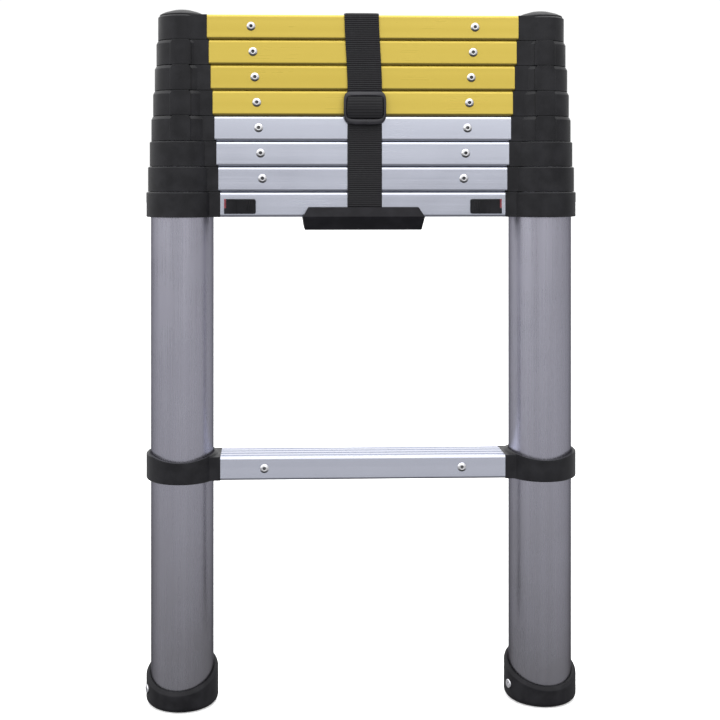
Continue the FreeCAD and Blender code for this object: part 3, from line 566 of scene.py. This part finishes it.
def strap():
    """The strap round the stack of rungs, whose upper turn leans to the left from the buckle up."""
    low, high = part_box("strap_webbing")
    inset = STRAP_THICKNESS / 2
    buckle_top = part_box("strap_buckle")[1].z

    def lean(z):
        rise = max(0.0, min(1.0, (z - buckle_top) / (high.z - buckle_top)))
        return -STRAP_LEAN * rise * rise * (3 - 2 * rise)

    edges = (low.y + inset, high.y - inset, low.z + inset, high.z - inset)
    around = 2 * (high.y - low.y + high.z - low.z)
    count = STATIONS_PER_RIB * round(around / RIB_PITCH)
    places = rounded_loop(*edges, STRAP_CORNER, count)
    centre = (low.x + high.x) / 2
    mesh = webbing_band("strap_woven", places, centre, high.x - low.x, STRAP_THICKNESS, RIB_HEIGHT, lean)
    piece = add_piece("strap_woven", mesh, "strap_webbing")
    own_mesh(piece)


def bar_wrap():
    """The turn of webbing round the buckle's bar, which bulges to the front."""
    low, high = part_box("strap_bar_wrap")
    half_depth = (high.y - low.y - WRAP_THICKNESS) / 2
    half_height = (high.z - low.z - WRAP_THICKNESS) / 2
    middle = Vector(((low.y + high.y) / 2, (low.z + high.z) / 2))
    around = 4.2 * half_height  # a flat outline is a little over four half heights round
    count = STATIONS_PER_RIB * round(around / RIB_PITCH)
    angles = [2 * math.pi * i / count for i in range(count)]
    outline = [Vector(superellipse(angle, half_depth, half_height, WRAP_ROUNDING)) for angle in angles]
    places = []
    for i, point in enumerate(outline):
        ahead = outline[(i + 1) % count] - outline[i - 1]
        places.append((middle + point, Vector((ahead.y, -ahead.x)).normalized()))
    centre = (low.x + high.x) / 2
    mesh = webbing_band("bar_wrap_woven", places, centre, high.x - low.x, WRAP_THICKNESS, WRAP_RIB_HEIGHT)
    add_piece("bar_wrap_woven", mesh, "strap_bar_wrap")


# ---- buckle ------------------------------------------------------------------------------------------

# Each ROUNDING is the power of a superellipse.
FRAME_STATIONS = 96
FRAME_CORNERS = 16  # of the frame's section
FRAME_ROUNDING = 2.6
OUTLINE_ROUNDING = 4.6
OPENING_ROUNDING = 6.5
OPENING_HALF_WIDTH = 19.9 * MM
OPENING_HALF_HEIGHT = 12.6 * MM
BUCKLE_SLANT = 0.75  # share of its depth that the upper bar loses towards its upper edge
BAR_CORNERS = 24  # of the flat bar's section
BAR_ROUNDING = 4
BAR_HALF_HEIGHT = 9.6 * MM
BAR_HALF_DEPTH = 1.3 * MM
BAR_MIDDLE = 1.35 * MM  # in front of the buckle's back
BAR_BITE = 1.0 * MM  # how far the bar's ends run into the frame


def buckle():
    """The slide buckle: a rounded frame whose sides bulge, and the flat bar across it."""
    low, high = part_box("strap_buckle")
    centre = (low + high) / 2
    half_width = (high.x - low.x) / 2
    half_height = (high.z - low.z) / 2
    depth = high.y - low.y
    work = bmesh.new()
    rings = []
    for i in range(FRAME_STATIONS):
        angle = 2 * math.pi * i / FRAME_STATIONS
        outer = Vector(superellipse(angle, half_width, half_height, OUTLINE_ROUNDING))
        inner = Vector(superellipse(angle, OPENING_HALF_WIDTH, OPENING_HALF_HEIGHT, OPENING_ROUNDING))
        slant = BUCKLE_SLANT * max(0.0, math.sin(angle)) ** 4
        ring = []
        for j in range(FRAME_CORNERS):
            across, front = superellipse(2 * math.pi * j / FRAME_CORNERS, 0.5, 0.5, FRAME_ROUNDING)
            place = inner.lerp(outer, across + 0.5)
            if front < 0:
                front += slant * (across + 0.5)
            ring.append((centre.x + place.x, centre.y + min(front, 0.5) * depth, centre.z + place.y))
        rings.append(ring)
    lofted_ring(work, rings)
    bar = []
    reach = OPENING_HALF_WIDTH + BAR_BITE
    for x in (-reach, reach):
        ring = []
        for j in range(BAR_CORNERS):
            angle = 2 * math.pi * j / BAR_CORNERS
            up, front = superellipse(angle, BAR_HALF_HEIGHT, BAR_HALF_DEPTH, BAR_ROUNDING)
            ring.append((centre.x + x, high.y - BAR_MIDDLE + front, centre.z + up))
        bar.append(ring)
    lofted_bar(work, bar)
    smooth_by_area(add_piece("buckle_moulded", finished(work, "buckle_moulded"), "strap_buckle"))


# ---- small parts -------------------------------------------------------------------------------------

# Radius and height above the rung's face, in millimetres.
HEAD = [
    (0, 0.1), (1.6, 0.1), (1.65, 1.4), (1.9, 1.62), (2.6, 1.58), (3.3, 1.38),
    (4.0, 1.02), (4.6, 0.6), (4.9, 0.25), (5.0, -0.2), (0, -0.2),
]
MANDREL = [(0, 0.12), (1.55, 0.12), (1.5, 0.42), (1.15, 0.62), (0.75, 0.72), (0.5, 0.9), (0, 0.86)]

RIDGES = 3
FIRST_RIDGE = 4.2 * MM  # from the grip's inner end
RIDGE_PITCH = 2.6 * MM
RIDGE_CORNERS = 10
RIDGE_HALF_WIDTH = 0.55 * MM
RIDGE_HEIGHT = 0.45 * MM
RIDGE_STATIONS = ((0.16, 0.3), (0.2, 1.0), (0.5, 1.0), (0.8, 1.0), (0.84, 0.3))  # share of height, size

SPRING_WIRE = 0.4 * MM
SPRING_TURNS = 9
STATIONS_PER_TURN = 24
WIRE_CORNERS = 8


def turned_mesh(name, profile, places):
    """One mesh with the same turned shape at each place."""
    work = bmesh.new()
    for place, facing in places:
        turned(work, [(radius * MM, height * MM) for radius, height in profile], place, facing)
    return finished(work, name)


def rung_rivets(rung):
    """A rung's domed rivets at both ends, front and back, and the broken-off mandrels in them."""
    node = f"rung_{rung}_rivets"
    low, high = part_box(node)
    bar_low, bar_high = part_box(f"rung_{rung}")
    head = (high.z - low.z) / 2
    places = []
    for x in (low.x + head, high.x - head):
        places.append(((x, bar_low.y, low.z + head), (0, -1, 0)))
        places.append(((x, bar_high.y, low.z + head), (0, 1, 0)))
    heads = turned_mesh(node + "_domed", HEAD, places)
    smooth_by_area(add_piece(node + "_domed", heads, node))
    mandrels = turned_mesh(node + "_mandrels", MANDREL, places)
    add_piece(node + "_mandrels", mandrels, node, "spring_steel", replaces=False)


def slide_ridges(side):
    """Thumb ridges near the inner end of a slide's raised grip."""
    node = f"thumb_slide_{side}"
    low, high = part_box(node)
    inner_end, outward = (high.x, -1) if side == "left" else (low.x, 1)
    work = bmesh.new()
    for i in range(RIDGES):
        x = inner_end + outward * (FIRST_RIDGE + RIDGE_PITCH * i)
        rings = []
        for share, size in RIDGE_STATIONS:
            z = low.z + share * (high.z - low.z)
            ring = []
            for j in range(RIDGE_CORNERS):
                angle = 2 * math.pi * j / RIDGE_CORNERS
                across, out = superellipse(angle, RIDGE_HALF_WIDTH * size, RIDGE_HEIGHT * size, 2)
                ring.append((x + across, low.y + out, z))
            rings.append(ring)
        lofted_bar(work, rings)
    add_piece(node + "_ridges", finished(work, node + "_ridges"), node, replaces=False)


def return_spring(side):
    """The return spring behind a lock pin: a helix of wire that fills the spring's box."""
    node = f"lock_spring_{side}"
    low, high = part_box(node)
    middle = (low + high) / 2
    radius = (high.z - low.z) / 2 - SPRING_WIRE
    length = high.x - low.x - 2 * SPRING_WIRE
    count = STATIONS_PER_TURN * SPRING_TURNS
    rings = []
    for i in range(count + 1):
        turn = 2 * math.pi * SPRING_TURNS * i / count
        x = low.x + SPRING_WIRE + length * i / count
        ring = []
        for j in range(WIRE_CORNERS):
            angle = 2 * math.pi * j / WIRE_CORNERS
            reach = radius + SPRING_WIRE * math.cos(angle)
            y = middle.y + reach * math.cos(turn)
            z = middle.z + reach * math.sin(turn)
            ring.append((x + SPRING_WIRE * math.sin(angle), y, z))
        rings.append(ring)
    work = bmesh.new()
    lofted_bar(work, rings)
    piece = add_piece(node + "_coil", finished(work, node + "_coil"), node)
    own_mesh(piece)


# ---- the scene ---------------------------------------------------------------------------------------

# Radii of the edges of moulded parts.
COLLAR_EDGE = 0.45 * MM
SLIDE_EDGE = 0.3 * MM
FOOT_EDGE = 0.5 * MM
HANDLE_EDGE = 0.4 * MM

make_camera()
studio_world()
make_floor()
for name, x in (("key_left", -1.3), ("key_right", 1.3)):
    softbox(name, place=(x, -1.9, 1.2), target=(0, 0, 0.62), width=0.9, height=1.3, power=9)
softbox("overhead", place=(0, 0.7, 2.4), target=(0, 0.4, 0), width=2.2, height=1.6, power=24)
scene.view_settings.view_transform = "Standard"

materials = make_materials()
for node, slot in slot_of.items():
    for place in nodes[node].material_slots:
        place.material = materials[slot]

for node in ("collar_1_left", "collar_1_right", "rung_1_clamp_left", "rung_1_clamp_right", "top_caps"):
    softened(node, COLLAR_EDGE)
for section in SECTIONS:
    softened(f"section_{section}_collars", COLLAR_EDGE)
for side in SIDES:
    softened(f"thumb_slide_{side}", SLIDE_EDGE)
    slide_ridges(side)
    return_spring(side)
    softened(f"foot_{side}", FOOT_EDGE)
softened("carry_handle", HANDLE_EDGE)
strap()
bar_wrap()
buckle()
for rung in RIVETED_RUNGS:
    rung_rivets(rung)
